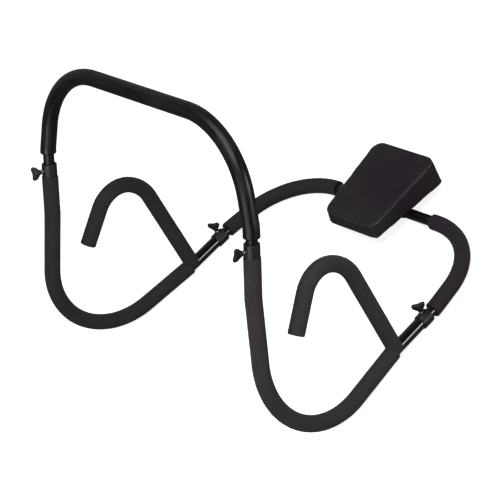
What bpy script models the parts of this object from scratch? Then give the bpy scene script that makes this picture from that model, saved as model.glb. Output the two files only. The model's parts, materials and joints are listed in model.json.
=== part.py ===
"""Abdominal crunch roller with a head cushion.

Two mirrored side frames (runner, arm rest hook, foam sleeves) carry a telescoping hand hoop in
front and a telescoping head frame behind.  Four wing knobs clamp the telescoping joints.  The
roller is modelled resting on the straight lengths of its two runners.

Metres, +Z up, +X to the right-hand side frame, +Y towards the head cushion.
"""
import math

import bpy
from mathutils import Matrix, Vector

# ---------------------------------------------------------------- tubes, foam and clamps
FOAM_FACETS = 16
FACETS = 12
BEND_STEP = math.radians(15.0)

OUTER_TUBE_R = 0.0125
OUTER_TUBE_BORE_R = 0.0114
INNER_TUBE_R = 0.0110
INNER_TUBE_BORE_R = 0.0098
FOAM_R = 0.0162
HOOP_FOAM_R = 0.0156
FOAM_ON_OUTER_R = 0.0129
FOAM_ON_INNER_R = 0.01135
FOAM_EDGE = 0.0012
CLEARANCE = 0.0003

# ---------------------------------------------------------------- centre lines of the right half
FLOOR_Z = FOAM_R * math.cos(math.pi / FOAM_FACETS)
FRONT_Y = -0.4422
MAIN_BEND_R = 0.1585
REAR_BEND_R = 0.1540
SPLAY_BEND_R = 0.043

HOOP_CORNER = Vector((0.2682, 0.3214, 0.6157))
RUNNER_CORNER = Vector((0.3503, 0.0, 0.0))
REAR_CORNER = Vector((0.2813, 0.6954, 0.0))
FRONT_SLIDE_X = 0.3065
REAR_SLIDE_X = 0.3070

# fractions of the line from the hoop corner down to the runner corner
FRONT_SLIDE_TOP = 0.255
HOOP_FOAM_END = {"left": 0.2665, "right": 0.2830}
RUNNER_FOAM_TOP = 0.3344
HOOP_LEG_END = 0.4280
FRONT_SLIDE_END = 0.4480

# fractions of the line from the runner corner back to the rear corner
ARM_JUNCTION = 0.5607
REAR_LEG_START = 0.5900
REAR_COLLAR_MID = 0.6847
REAR_FOAM_START = 0.7196
REAR_SLIDE_END = 0.7300
RUNNER_FOAM_SETBACK = 0.0075
REAR_FOAM_END_X = {"left": 0.1440, "right": 0.1360}

ARM_SHOULDER = Vector((0.3058, 0.3766, 0.2400))
ARM_CREST = Vector((0.3057, 0.3136, 0.3026))
ARM_TIP = Vector((0.3175, 0.2118, 0.2165))
ARM_SHOULDER_R = 0.0832
ARM_CREST_R = 0.0598
ARM_CUP_WALL = 0.0040
ARM_TUBE_INSET = 0.0050
SEAT_CUT_SHARE = 0.20
SEAT_CUT_REACH = 0.05

# ---------------------------------------------------------------- clamps
COLLAR_LENGTH = 0.0255
COLLAR_R = 0.0150
COLLAR_LIP = 0.0040
COLLAR_LIP_R = 0.0115
COLLAR_BORE_R = 0.0129
COLLAR_EDGE = 0.0008
BOSS_R = 0.0055
BOSS_ROOT = 0.0133
BOSS_REACH = 0.0175
BOSS_EDGE = 0.0006
STUD_R = 0.0030
STUD_HOLE_R = 0.0033
STUD_EDGE = 0.0005
STUD_TIP = INNER_TUBE_R + CLEARANCE
STUD_IN_KNOB = 0.0090
KNOB_BASE = 0.0215
KNOB_TURN = {
    ("left", "front"): 15.0,
    ("right", "front"): -14.0,
    ("left", "rear"): -60.0,
    ("right", "rear"): -42.0,
}
# height above the knob's base, half width and half thickness of the wing
WING_SECTIONS = (
    (0.0000, 0.0052, 0.0052),
    (0.0011, 0.0060, 0.0060),
    (0.0044, 0.0072, 0.0056),
    (0.0083, 0.0099, 0.0047),
    (0.0122, 0.0126, 0.0040),
    (0.0161, 0.0135, 0.0036),
    (0.0191, 0.0130, 0.0033),
    (0.0200, 0.0119, 0.0025),
)

# ---------------------------------------------------------------- head cushion, from the bar centre
PAD_TILT = math.radians(-2.14)
PAD_FRONT_Y = -0.1009
PAD_BACK_Y = 0.0985
PAD_FRONT_WIDTH = 0.1476
PAD_BACK_WIDTH = 0.1751
PAD_FRONT_HEIGHT = 0.0346
PAD_BACK_HEIGHT = 0.0627
PAD_LIFT = 0.0122
PAD_LOW_CORNER_R = 0.0060
PAD_LEAST_CORNER_R = 0.0040
PAD_CORNER_STEPS = 4
PAD_RIM = 0.0050
PAD_HEM = 0.0020
PAD_HEM_INSET = 0.0015
BOARD_THICKNESS = 0.0060
# inset of the outline, drop below the top face and corner radius, from the side up to the crown
PAD_CROWN = (
    (0.0000, 0.0140, 0.0160),
    (0.0010, 0.0080, 0.0185),
    (0.0040, 0.0028, 0.0200),
    (0.0100, 0.0000, 0.0200),
)

STRAP_X = 0.0450
STRAP_BORE_R = 0.0114
STRAP_WIDTH = 0.0200
STRAP_THICKNESS = 0.0018
STRAP_EAR = 0.0150
STRAP_STEPS = 8
SCREW_R = 0.0020
SCREW_HOLE_R = 0.0023
SCREW_HEAD_R = 0.0042
SCREW_CROWN_R = 0.0026
SCREW_EDGE = 0.0008
SCREW_HEAD_HEIGHT = 0.0022
SCREW_BITE = 0.0045

STEEL_BLACK = ((0.012, 0.012, 0.013), 0.18, 0.0)
FOAM_BLACK = ((0.020, 0.020, 0.021), 0.85, 0.0)
HOOP_FOAM_BLACK = ((0.010, 0.010, 0.011), 0.50, 0.0)
PLASTIC_BLACK = ((0.018, 0.018, 0.019), 0.42, 0.0)
BARE_STEEL = ((0.62, 0.62, 0.64), 0.28, 1.0)
VINYL_BLACK = ((0.022, 0.018, 0.021), 0.45, 0.0)
PLYWOOD = ((0.46, 0.33, 0.20), 0.70, 0.0)

X_AXIS = Vector((1.0, 0.0, 0.0))
Y_AXIS = Vector((0.0, 1.0, 0.0))
Z_AXIS = Vector((0.0, 0.0, 1.0))
DATUM = Vector((0.0, FRONT_Y, FLOOR_Z))
SIDES = (("left", -1.0), ("right", 1.0))

LEG_AXIS = Vector((0.0, HOOP_CORNER.y, HOOP_CORNER.z)).normalized()
HOOP_NORMAL = LEG_AXIS.cross(X_AXIS) * -1.0


# ---------------------------------------------------------------- objects
def clear_scene():
    """Remove every object that is already in the file."""
    for obj in list(bpy.data.objects):
        bpy.data.objects.remove(obj, do_unlink=True)


def give_material(obj, look):
    """Give an object its own surface material."""
    colour, roughness, metallic = look
    mat = bpy.data.materials.new("mat_" + obj.name)
    mat.use_nodes = True
    shader = mat.node_tree.nodes["Principled BSDF"]
    shader.inputs["Base Color"].default_value = (*colour, 1.0)
    shader.inputs["Roughness"].default_value = roughness
    shader.inputs["Metallic"].default_value = metallic
    obj.data.materials.append(mat)


def skin(name, rings, closed, look=None, origin=Vector(), smooth=True):
    """Join equal rings of points into one closed body; open chains of rings are capped."""
    count = len(rings[0])
    verts = [tuple(p - origin) for ring in rings for p in ring]
    faces = []
    last = len(rings) if closed else len(rings) - 1
    for i in range(last):
        low = i * count
        high = ((i + 1) % len(rings)) * count
        for k in range(count):
            n = (k + 1) % count
            faces.append((low + k, low + n, high + n, high + k))
    if not closed:
        faces.append(tuple(reversed(range(count))))
        faces.append(tuple(range(len(verts) - count, len(verts))))
    mesh = bpy.data.meshes.new(name)
    mesh.from_pydata(verts, [], faces)
    mesh.polygons.foreach_set("use_smooth", [smooth] * len(mesh.polygons))
    mesh.update()
    obj = bpy.data.objects.new(name, mesh)
    obj.location = origin
    bpy.context.scene.collection.objects.link(obj)
    if look is None:
        obj.hide_render = True
        obj.display_type = "WIRE"
    else:
        give_material(obj, look)
    return obj


def combine(obj, other, operation):
    """Add or cut another body by an exact Boolean."""
    mod = obj.modifiers.new(operation.lower() + "_" + other.name, "BOOLEAN")
    mod.operation = operation
    mod.solver = "EXACT"
    mod.object = other


# ---------------------------------------------------------------- paths and sections
def along(start, end, share, x=None):
    """Point at a share of the line between two corners, with its own x if one is given."""
    point = start.lerp(end, share)
    if x is not None:
        point.x = x
    return point


def rounded(corners, radii):
    """Centre line through corners, each rounded with its own bend radius."""
    path = [corners[0].copy()]
    for before, corner, after, radius in zip(corners, corners[1:], corners[2:], radii):
        back = (before - corner).normalized()
        ahead = (after - corner).normalized()
        turn = math.pi - back.angle(ahead)
        reach = radius * math.tan(turn / 2.0)
        centre = corner + (back + ahead).normalized() * (radius / math.cos(turn / 2.0))
        start = corner + back * reach
        spoke = (start - centre).normalized()
        steps = max(1, round(turn / BEND_STEP))
        for k in range(steps + 1):
            angle = turn * k / steps
            path.append(centre + (spoke * math.cos(angle) - back * math.sin(angle)) * radius)
    path.append(corners[-1].copy())
    return path


def trimmed(path, head, tail):
    """Shorten a path by a length at its head and another at its tail."""
    for distance in (head, tail):
        left = distance
        while left > (path[1] - path[0]).length:
            left -= (path[1] - path[0]).length
            path = path[1:]
        path = [path[0] + (path[1] - path[0]).normalized() * left] + path[1:]
        path = path[::-1]
    return path


def section(path, index, reference, radius, facets=FACETS):
    """Ring of points round one station of a path, mitred between its neighbours."""
    here = path[index]
    into = (here - path[index - 1]).normalized() if index else None
    out = (path[index + 1] - here).normalized() if index + 1 < len(path) else None
    into = into or out
    out = out or into
    tangent = (into + out).normalized()
    across = (reference - tangent * reference.dot(tangent)).normalized()
    other = tangent.cross(across)
    bend = out - into
    stretch = 1.0 / tangent.dot(out) - 1.0
    ring = []
    for k in range(facets):
        angle = 2.0 * math.pi * (k + 0.5) / facets
        offset = (across * math.cos(angle) + other * math.sin(angle)) * radius
        if bend.length > 1e-6:
            lean = bend.normalized()
            offset = offset + lean * (offset.dot(lean) * stretch)
        ring.append(here + offset)
    return ring


def sections(path, reference, radius, facets, edge=0.0):
    """Rings along a whole path; an edge softens both of its ends."""
    if edge:
        path = [path[0], trimmed(path, edge, 0.0)[0]] + path[1:]
        path = path[:-1] + [trimmed(path, 0.0, edge)[-1], path[-1]]
    rings = [section(path, i, reference, radius, facets) for i in range(len(path))]
    if edge:
        rings[0] = section(path, 0, reference, radius - edge, facets)
        rings[-1] = section(path, len(path) - 1, reference, radius - edge, facets)
    return rings


def pipe(name, path, reference, radius, bore, look, origin=Vector(), edge=0.0):
    """Hollow round body along a path, open at both ends; only foam has softened ends."""
    facets = FOAM_FACETS if edge else FACETS
    outside = sections(path, reference, radius, facets, edge)
    inside = sections(path, reference, bore, facets)
    return skin(name, outside + inside[::-1], True, look, origin)


def rod(name, path, reference, radius, facets):
    """Solid round tool body along a path."""
    return skin(name, sections(path, reference, radius, facets), False)


def turned(name, base, axis, profile, closed, look=None, origin=Vector()):
    """Body of revolution from (height, radius) pairs along an axis."""
    rings = [section([base + axis * h, base + axis * (h + 1.0)], 0, X_AXIS, r) for h, r in profile]
    return skin(name, rings, closed, look, origin)


def mirrored(points, sign):
    """Copy points to one side of the roller and set them on the floor datum."""
    return [Vector((p.x * sign, p.y, p.z)) + DATUM for p in points]


# ---------------------------------------------------------------- side frames
FRONT_TOP = along(HOOP_CORNER, RUNNER_CORNER, FRONT_SLIDE_TOP, FRONT_SLIDE_X)
FRONT_SEAT = along(HOOP_CORNER, RUNNER_CORNER, RUNNER_FOAM_TOP, FRONT_SLIDE_X)
FRONT_LOW = along(HOOP_CORNER, RUNNER_CORNER, FRONT_SLIDE_END, FRONT_SLIDE_X)
JUNCTION = along(RUNNER_CORNER, REAR_CORNER, ARM_JUNCTION, REAR_SLIDE_X)
REAR_SEAT = along(RUNNER_CORNER, REAR_CORNER, REAR_COLLAR_MID, REAR_SLIDE_X) + Y_AXIS * (COLLAR_LENGTH / 2.0)
REAR_HIGH = along(RUNNER_CORNER, REAR_CORNER, REAR_SLIDE_END, REAR_SLIDE_X)


def runner_path(sign, start, end):
    """Centre line of one runner between a point on its leg and a point near its tail."""
    corners = [start, FRONT_LOW, RUNNER_CORNER, JUNCTION, end]
    return rounded(mirrored(corners, sign), [SPLAY_BEND_R, MAIN_BEND_R, SPLAY_BEND_R])


def arm_path(sign):
    """Centre line of one arm hook, from inside the runner to its tip."""
    corners = mirrored([JUNCTION, ARM_SHOULDER, ARM_CREST, ARM_TIP], sign)
    return rounded(corners, [ARM_SHOULDER_R, ARM_CREST_R])


def build_side(side, sign):
    """Runner tube and foam, arm tube and foam of one side frame."""
    tube_top = FRONT_SEAT + LEG_AXIS * (COLLAR_LENGTH - COLLAR_LIP - CLEARANCE)
    tube_tail = REAR_SEAT - Y_AXIS * (COLLAR_LIP + CLEARANCE)
    foam_trim = SEAT_CUT_REACH + RUNNER_FOAM_SETBACK
    foam_path = trimmed(runner_path(sign, FRONT_SEAT, JUNCTION + Y_AXIS * SEAT_CUT_REACH), 0.0, foam_trim)
    tube = pipe(side + "_runner_tube", runner_path(sign, tube_top, tube_tail), X_AXIS,
                OUTER_TUBE_R, OUTER_TUBE_BORE_R, STEEL_BLACK)
    foam = pipe(side + "_runner_foam", foam_path, X_AXIS,
                FOAM_R, FOAM_ON_OUTER_R, FOAM_BLACK, edge=FOAM_EDGE)

    centre = arm_path(sign)
    arm = pipe(side + "_arm_tube", trimmed(centre, 0.0, ARM_TUBE_INSET), X_AXIS,
               INNER_TUBE_R, INNER_TUBE_BORE_R, STEEL_BLACK)
    inside = sections(trimmed(centre, 0.0, ARM_CUP_WALL), X_AXIS, FOAM_ON_INNER_R, FOAM_FACETS)
    outside = sections(centre, X_AXIS, FOAM_R, FOAM_FACETS, FOAM_EDGE)
    grip = skin(side + "_arm_foam", inside[::-1] + outside, False, FOAM_BLACK)

    corners = [along(JUNCTION, RUNNER_CORNER, SEAT_CUT_SHARE), JUNCTION, JUNCTION + Y_AXIS * SEAT_CUT_REACH]
    seat = rounded(mirrored(corners, sign), [SPLAY_BEND_R])
    tube_seat = rod("cut_" + side + "_tube_seat", seat, X_AXIS, OUTER_TUBE_R + CLEARANCE, FACETS)
    foam_seat = rod("cut_" + side + "_foam_seat", trimmed(seat, 0.0, foam_trim - CLEARANCE), X_AXIS,
                    FOAM_R + CLEARANCE, FOAM_FACETS)
    arm_way = rod("cut_" + side + "_arm_way", centre[:2], X_AXIS, INNER_TUBE_R + 2.0 * CLEARANCE, FACETS)
    combine(arm, tube_seat, "DIFFERENCE")
    combine(grip, foam_seat, "DIFFERENCE")
    combine(grip, tube_seat, "DIFFERENCE")
    combine(foam, arm_way, "DIFFERENCE")
    return tube


# ---------------------------------------------------------------- clamps
def build_clamp(side, place, seat, axis, facing, tube):
    """Collar with its boss, stud and wing knob; the stud's way is cut through the runner tube."""
    label = side + "_" + place + "_"
    middle = seat + axis * (COLLAR_LENGTH / 2.0)
    profile = (
        (0.0, COLLAR_BORE_R),
        (0.0, COLLAR_R - COLLAR_EDGE),
        (COLLAR_EDGE, COLLAR_R),
        (COLLAR_LENGTH - COLLAR_EDGE, COLLAR_R),
        (COLLAR_LENGTH, COLLAR_R - COLLAR_EDGE),
        (COLLAR_LENGTH, COLLAR_LIP_R),
        (COLLAR_LENGTH - COLLAR_LIP, COLLAR_LIP_R),
        (COLLAR_LENGTH - COLLAR_LIP, COLLAR_BORE_R),
    )
    collar = turned(label + "collar", seat + axis * CLEARANCE, axis, profile, True, PLASTIC_BLACK)
    boss_profile = ((BOSS_ROOT, BOSS_R), (BOSS_REACH - BOSS_EDGE, BOSS_R), (BOSS_REACH, BOSS_R - BOSS_EDGE))
    boss = turned("add_" + label + "boss", middle, facing, boss_profile, False)
    way_profile = ((0.0, STUD_HOLE_R), (KNOB_BASE, STUD_HOLE_R))
    way = turned("cut_" + label + "way", middle, facing, way_profile, False)
    combine(collar, boss, "UNION")
    combine(collar, way, "DIFFERENCE")
    combine(tube, way, "DIFFERENCE")

    base = middle + facing * KNOB_BASE
    stud_profile = (
        (STUD_TIP, STUD_R - STUD_EDGE),
        (STUD_TIP + STUD_EDGE, STUD_R),
        (KNOB_BASE + STUD_IN_KNOB, STUD_R),
    )
    turned(label + "stud", middle, facing, stud_profile, False, BARE_STEEL, base)

    tall = Matrix.Rotation(math.radians(KNOB_TURN[(side, place)]), 3, facing) @ axis
    thick = facing.cross(tall)
    socket = (base + facing * (STUD_IN_KNOB + CLEARANCE), base)
    rings = [section([mouth, mouth + facing], 0, tall, STUD_HOLE_R) for mouth in socket]
    for height, wide, deep in WING_SECTIONS:
        ring = []
        for k in range(FACETS):
            angle = 2.0 * math.pi * (k + 0.5) / FACETS
            spread = tall * (math.cos(angle) * wide) + thick * (math.sin(angle) * deep)
            ring.append(base + facing * height + spread)
        rings.append(ring)
    skin(label + "knob", rings, False, PLASTIC_BLACK, base)


# ---------------------------------------------------------------- hand hoop
def build_hoop():
    """Bent hand hoop and the foam sleeve round it."""
    leg_end = along(HOOP_CORNER, RUNNER_CORNER, HOOP_LEG_END, FRONT_SLIDE_X)
    radii = [SPLAY_BEND_R, MAIN_BEND_R, MAIN_BEND_R, SPLAY_BEND_R]
    foam_left = along(HOOP_CORNER, RUNNER_CORNER, HOOP_FOAM_END["left"], FRONT_SLIDE_X)
    foam_right = along(HOOP_CORNER, RUNNER_CORNER, HOOP_FOAM_END["right"], FRONT_SLIDE_X)

    def arch(low_left, low_right):
        left = mirrored([low_left, FRONT_TOP, HOOP_CORNER], -1.0)
        right = mirrored([HOOP_CORNER, FRONT_TOP, low_right], 1.0)
        return rounded(left + right, radii)

    origin = DATUM + Vector((0.0, leg_end.y, leg_end.z))
    pipe("hoop_tube", arch(leg_end, leg_end), HOOP_NORMAL, INNER_TUBE_R, INNER_TUBE_BORE_R,
         STEEL_BLACK, origin)
    pipe("hoop_foam", arch(foam_left, foam_right), HOOP_NORMAL, HOOP_FOAM_R, FOAM_ON_INNER_R,
         HOOP_FOAM_BLACK, origin, FOAM_EDGE)


# ---------------------------------------------------------------- head frame
def build_head_frame():
    """Bent rear tube that carries the cushion, and its two foam sleeves."""
    leg_start = along(RUNNER_CORNER, REAR_CORNER, REAR_LEG_START, REAR_SLIDE_X)
    foam_start = along(RUNNER_CORNER, REAR_CORNER, REAR_FOAM_START, REAR_SLIDE_X)
    left = mirrored([leg_start, REAR_HIGH, REAR_CORNER], -1.0)
    right = mirrored([REAR_CORNER, REAR_HIGH, leg_start], 1.0)
    path = rounded(left + right, [SPLAY_BEND_R, REAR_BEND_R, REAR_BEND_R, SPLAY_BEND_R])
    origin = DATUM + Vector((0.0, leg_start.y, 0.0))
    pipe("head_frame_tube", path, Z_AXIS, INNER_TUBE_R, INNER_TUBE_BORE_R, STEEL_BLACK, origin)
    for side, sign in SIDES:
        bar_end = Vector((REAR_FOAM_END_X[side], REAR_CORNER.y, 0.0))
        sleeve = rounded(mirrored([foam_start, REAR_HIGH, REAR_CORNER, bar_end], sign),
                         [SPLAY_BEND_R, REAR_BEND_R])
        pipe(side + "_head_frame_foam", sleeve, Z_AXIS, FOAM_R, FOAM_ON_INNER_R,
             FOAM_BLACK, origin, FOAM_EDGE)


# ---------------------------------------------------------------- head cushion
BAR_CENTRE = DATUM + Vector((0.0, REAR_CORNER.y, 0.0))
PAD_FRAME = Matrix.Translation(BAR_CENTRE) @ Matrix.Rotation(PAD_TILT, 4, "X")


def pad_outline(inset, corner):
    """Outline of the cushion seen from above, with rounded corners, moved in by an inset."""
    front = PAD_FRONT_Y + inset
    back = PAD_BACK_Y - inset
    radius = max(corner - inset, PAD_LEAST_CORNER_R)
    slope = (PAD_BACK_WIDTH - PAD_FRONT_WIDTH) / (PAD_BACK_Y - PAD_FRONT_Y) / 2.0
    points = []
    for x_sign, y_sign, first in ((1, 1, 0), (-1, 1, 1), (-1, -1, 2), (1, -1, 3)):
        y_mid = (back if y_sign > 0 else front) - y_sign * radius
        for k in range(PAD_CORNER_STEPS + 1):
            angle = math.pi / 2.0 * (first + k / PAD_CORNER_STEPS)
            y = y_mid + radius * math.sin(angle)
            half = PAD_FRONT_WIDTH / 2.0 + slope * (y - PAD_FRONT_Y) - inset
            points.append((x_sign * (half - radius) + radius * math.cos(angle), y))
    return points


def pad_height(y):
    """Height of the cushion's top face above its underside."""
    share = (y - PAD_FRONT_Y) / (PAD_BACK_Y - PAD_FRONT_Y)
    return PAD_FRONT_HEIGHT + (PAD_BACK_HEIGHT - PAD_FRONT_HEIGHT) * share


def pad_ring(inset, level, corner=PAD_LOW_CORNER_R):
    """Outline placed at a height above the cushion's underside, given as a function of y."""
    return [PAD_FRAME @ Vector((x, y, PAD_LIFT + level(y))) for x, y in pad_outline(inset, corner)]


def build_cushion():
    """Wedge cushion with a recess in its underside for the backing board."""
    recess = BOARD_THICKNESS + CLEARANCE
    rings = [
        pad_ring(PAD_RIM, lambda y: recess),
        pad_ring(PAD_RIM, lambda y: 0.0),
        pad_ring(PAD_HEM_INSET, lambda y: 0.0),
        pad_ring(0.0, lambda y: PAD_HEM),
    ]
    for inset, drop, corner in PAD_CROWN:
        rings.append(pad_ring(inset, lambda y, d=drop: pad_height(y) - d, corner))
    skin("head_cushion", rings, False, VINYL_BLACK, BAR_CENTRE)

    inset = PAD_RIM + CLEARANCE
    board = skin("head_board", [pad_ring(inset, lambda y: 0.0), pad_ring(inset, lambda y: BOARD_THICKNESS)],
                 False, PLYWOOD, BAR_CENTRE, smooth=False)
    for side, sign in SIDES:
        build_strap(side, STRAP_X * sign, board)


def strap_profile():
    """Outline of a saddle strap in the plane across the bar: ears, legs and a half round."""
    ear_z = PAD_LIFT - CLEARANCE
    reach = STRAP_BORE_R + STRAP_THICKNESS
    outer = [(-reach - STRAP_EAR, ear_z), (-reach - STRAP_EAR, ear_z - STRAP_THICKNESS)]
    outer += [(-reach, ear_z - STRAP_THICKNESS)]
    inner = []
    for k in range(STRAP_STEPS + 1):
        angle = math.pi * (1.0 + k / STRAP_STEPS)
        outer.append((math.cos(angle) * reach, math.sin(angle) * reach))
        inner.append((math.cos(angle) * STRAP_BORE_R, math.sin(angle) * STRAP_BORE_R))
    outer += [(reach, ear_z - STRAP_THICKNESS)]
    outer += [(reach + STRAP_EAR, ear_z - STRAP_THICKNESS), (reach + STRAP_EAR, ear_z)]
    return outer + [(STRAP_BORE_R, ear_z)] + inner[::-1] + [(-STRAP_BORE_R, ear_z)]


def build_strap(side, x, board):
    """Saddle strap round the bar and the two screws that hold it to the board."""
    profile = strap_profile()
    rings = [
        [PAD_FRAME @ Vector((x + offset, y, z)) for y, z in profile]
        for offset in (-STRAP_WIDTH / 2.0, STRAP_WIDTH / 2.0)
    ]
    strap = skin(side + "_saddle_strap", rings, False, STEEL_BLACK, BAR_CENTRE, smooth=False)
    up = (PAD_FRAME.to_3x3() @ Z_AXIS).normalized()
    bottom = PAD_LIFT - CLEARANCE - STRAP_THICKNESS
    arm = STRAP_BORE_R + STRAP_THICKNESS + STRAP_EAR / 2.0
    for place, y in (("front", -arm), ("rear", arm)):
        foot = PAD_FRAME @ Vector((x, y, bottom))
        way_top = STRAP_THICKNESS + SCREW_BITE + CLEARANCE
        way_profile = ((-SCREW_HEAD_HEIGHT, SCREW_HOLE_R), (way_top, SCREW_HOLE_R))
        way = turned("cut_" + side + "_" + place + "_screw_way", foot, up, way_profile, False)
        combine(strap, way, "DIFFERENCE")
        combine(board, way, "DIFFERENCE")
        head = -SCREW_HEAD_HEIGHT - CLEARANCE
        screw_profile = (
            (head, SCREW_CROWN_R),
            (head + SCREW_EDGE, SCREW_HEAD_R),
            (-CLEARANCE, SCREW_HEAD_R),
            (-CLEARANCE, SCREW_R),
            (STRAP_THICKNESS + SCREW_BITE, SCREW_R),
        )
        turned(side + "_" + place + "_strap_screw", foot, up, screw_profile, False, BARE_STEEL, BAR_CENTRE)


# ---------------------------------------------------------------- assembly
clear_scene()
for frame_side, frame_sign in SIDES:
    runner = build_side(frame_side, frame_sign)
    front_seat, rear_seat = mirrored([FRONT_SEAT, REAR_SEAT - Y_AXIS * COLLAR_LENGTH], frame_sign)
    build_clamp(frame_side, "front", front_seat, LEG_AXIS, HOOP_NORMAL, runner)
    build_clamp(frame_side, "rear", rear_seat, Y_AXIS, Z_AXIS, runner)
build_hoop()
build_head_frame()
build_cushion()
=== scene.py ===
"""Looks of the abdominal crunch roller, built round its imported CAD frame."""
import json
import math
from bisect import bisect_right

import bmesh
import bpy
from mathutils import Matrix, Vector, noise
from mathutils.bvhtree import BVHTree
from mathutils.kdtree import KDTree


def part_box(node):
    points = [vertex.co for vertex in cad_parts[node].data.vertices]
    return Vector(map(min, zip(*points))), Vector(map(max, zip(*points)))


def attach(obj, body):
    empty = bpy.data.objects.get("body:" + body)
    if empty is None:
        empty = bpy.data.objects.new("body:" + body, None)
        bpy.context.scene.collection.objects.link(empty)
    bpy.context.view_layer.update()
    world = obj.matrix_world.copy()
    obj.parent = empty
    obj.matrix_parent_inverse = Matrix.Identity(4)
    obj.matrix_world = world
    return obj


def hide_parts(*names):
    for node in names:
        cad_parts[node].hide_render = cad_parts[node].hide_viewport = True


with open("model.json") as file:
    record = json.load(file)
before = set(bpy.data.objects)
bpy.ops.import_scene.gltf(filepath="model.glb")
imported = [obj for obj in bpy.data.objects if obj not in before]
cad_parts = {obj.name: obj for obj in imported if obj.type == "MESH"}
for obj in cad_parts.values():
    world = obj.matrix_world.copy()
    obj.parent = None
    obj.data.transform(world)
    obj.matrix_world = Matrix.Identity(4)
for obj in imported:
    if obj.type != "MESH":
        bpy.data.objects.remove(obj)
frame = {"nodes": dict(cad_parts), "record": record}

MM = 0.001
X_AXIS = Vector((1.0, 0.0, 0.0))
Y_AXIS = Vector((0.0, 1.0, 0.0))
Z_AXIS = Vector((0.0, 0.0, 1.0))
SIDES = (("left", -1.0), ("right", 1.0))
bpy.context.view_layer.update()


def new_object(name, data):
    """New object, linked to the scene."""
    made = bpy.data.objects.new(name, data)
    bpy.context.scene.collection.objects.link(made)
    return made


# -------------------- camera
ROLL_BACK = math.radians(29.74)      # the photograph shows the roller tipped forward by this
CAMERA_YAW = -0.8686
CAMERA_PITCH = 0.344
CAMERA_PLACE = Vector((2.8847, -1.5192, 2.5732))
LENS_MM = 148.2
SENSOR_MM = 36.0

tip_over = Matrix.Rotation(-ROLL_BACK, 3, "X")
ahead = Vector((math.sin(CAMERA_YAW) * math.cos(CAMERA_PITCH),
                math.cos(CAMERA_YAW) * math.cos(CAMERA_PITCH),
                -math.sin(CAMERA_PITCH)))
rightward = ahead.cross(Z_AXIS).normalized()
upward = rightward.cross(ahead)
axes = Matrix([tip_over @ rightward, tip_over @ upward, tip_over @ -ahead]).transposed()
camera = new_object("camera", bpy.data.cameras.new("camera"))
camera.data.lens = LENS_MM
camera.data.sensor_width = SENSOR_MM
camera.data.clip_end = 50.0
camera.matrix_world = Matrix.Translation(CAMERA_PLACE) @ axes.to_4x4()
bpy.context.scene.camera = camera

# -------------------- sizes, in metres
FOAM_R = 0.0162
FLOOR_Z = FOAM_R * math.cos(math.pi / 16)
DATUM = Vector((0.0, -0.4422, FLOOR_Z))
OUTER_TUBE_R = 0.0125
OUTER_BORE_R = 0.0114
INNER_TUBE_R = 0.0110
INNER_BORE_R = 0.0098
HOOP_FOAM_R = 0.0157
FOAM_ON_OUTER_R = 0.0127
FOAM_ON_INNER_R = 0.0113
MAIN_BEND_R = 0.1585
REAR_BEND_R = 0.1540
SPLAY_BEND_R = 0.0430

HOOP_CORNER = Vector((0.2682, 0.3214, 0.6157))
RUNNER_CORNER = Vector((0.3503, 0.0, 0.0))
REAR_CORNER = Vector((0.2813, 0.6954, 0.0))
FRONT_SLIDE_X = 0.3065
REAR_SLIDE_X = 0.3070
HOOP_FOAM_END = {"left": 0.2665, "right": 0.2830}
REAR_FOAM_END_X = {"left": 0.1440, "right": 0.1360}
ARM_CORNERS = (Vector((0.3058, 0.3766, 0.2400)), Vector((0.3057, 0.3136, 0.3026)),
               Vector((0.3175, 0.2118, 0.2165)))
ARM_BENDS = (0.0832, 0.0598)
HOOP_NORMAL = Vector((0.0, -0.8865, 0.4628))
LEG_AXIS = Vector((0.0, 0.4628, 0.8865))

COLLAR_LENGTH = 0.0255
COLLAR_R = 0.0150
COLLAR_LIP = 0.0040
COLLAR_LIP_R = 0.0115
COLLAR_BORE_R = 0.0128
KNOB_BASE = 0.0215
KNOB_TURN = {"left_front": 15.0, "right_front": -14.0, "left_rear": -60.0, "right_rear": -42.0}

GAP = 0.3 * MM                # left between pieces that don't touch
BEND_STEP = math.radians(1.5)
RING_STEP = 4.0 * MM
BORE_STEP = 12.0 * MM
SIDES_ROUND = 48
EDGE_STEPS = 5
RIPPLE_SCALE = 38.0           # of the noise that makes foam uneven, per metre


# -------------------- pieces and meshes
BODY_OF = {node: body for body, nodes in frame["record"]["behaviour"]["bodies"].items()
           for node in nodes}


def skinned(name, rings, closed, finish, straight=None, crease=35.0):
    """New smooth object through rings of equal count, joined end to end or capped."""
    count = len(rings[0])
    points = [tuple(p) for ring in rings for p in ring]
    faces = []
    for row in range(len(rings) if closed else len(rings) - 1):
        low, high = row * count, (row + 1) % len(rings) * count
        for k in range(count):
            after = (k + 1) % count
            faces.append((low + k, low + after, high + after, high + k))
    if not closed:
        faces.append(tuple(reversed(range(count))))
        faces.append(tuple(range(len(points) - count, len(points))))
    mesh = bpy.data.meshes.new(name)
    mesh.from_pydata(points, [], faces)
    if straight:
        layer = mesh.attributes.new("straight", "FLOAT_VECTOR", "POINT")
        for item, value in zip(layer.data, (p for ring in straight for p in ring)):
            item.vector = value
    piece = new_object(name, mesh)
    mesh.materials.append(finish)
    face_outward(piece, crease)
    return piece


def face_outward(piece, crease=35.0):
    """Turn every face outward, shade it smooth and keep edges past the crease angle sharp."""
    work = bmesh.new()
    work.from_mesh(piece.data)
    bmesh.ops.recalc_face_normals(work, faces=work.faces)
    limit = math.radians(crease)
    for face in work.faces:
        face.smooth = True
    for edge in work.edges:
        edge.smooth = not (len(edge.link_faces) == 2 and edge.calc_face_angle(0.0) > limit)
    work.to_mesh(piece.data)
    work.free()


def apply_modifiers(piece):
    """Bake a piece's modifiers into its mesh."""
    bpy.context.view_layer.update()
    shaped = piece.evaluated_get(bpy.context.evaluated_depsgraph_get())
    mesh = bpy.data.meshes.new_from_object(shaped)
    piece.modifiers.clear()
    piece.data = mesh


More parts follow.
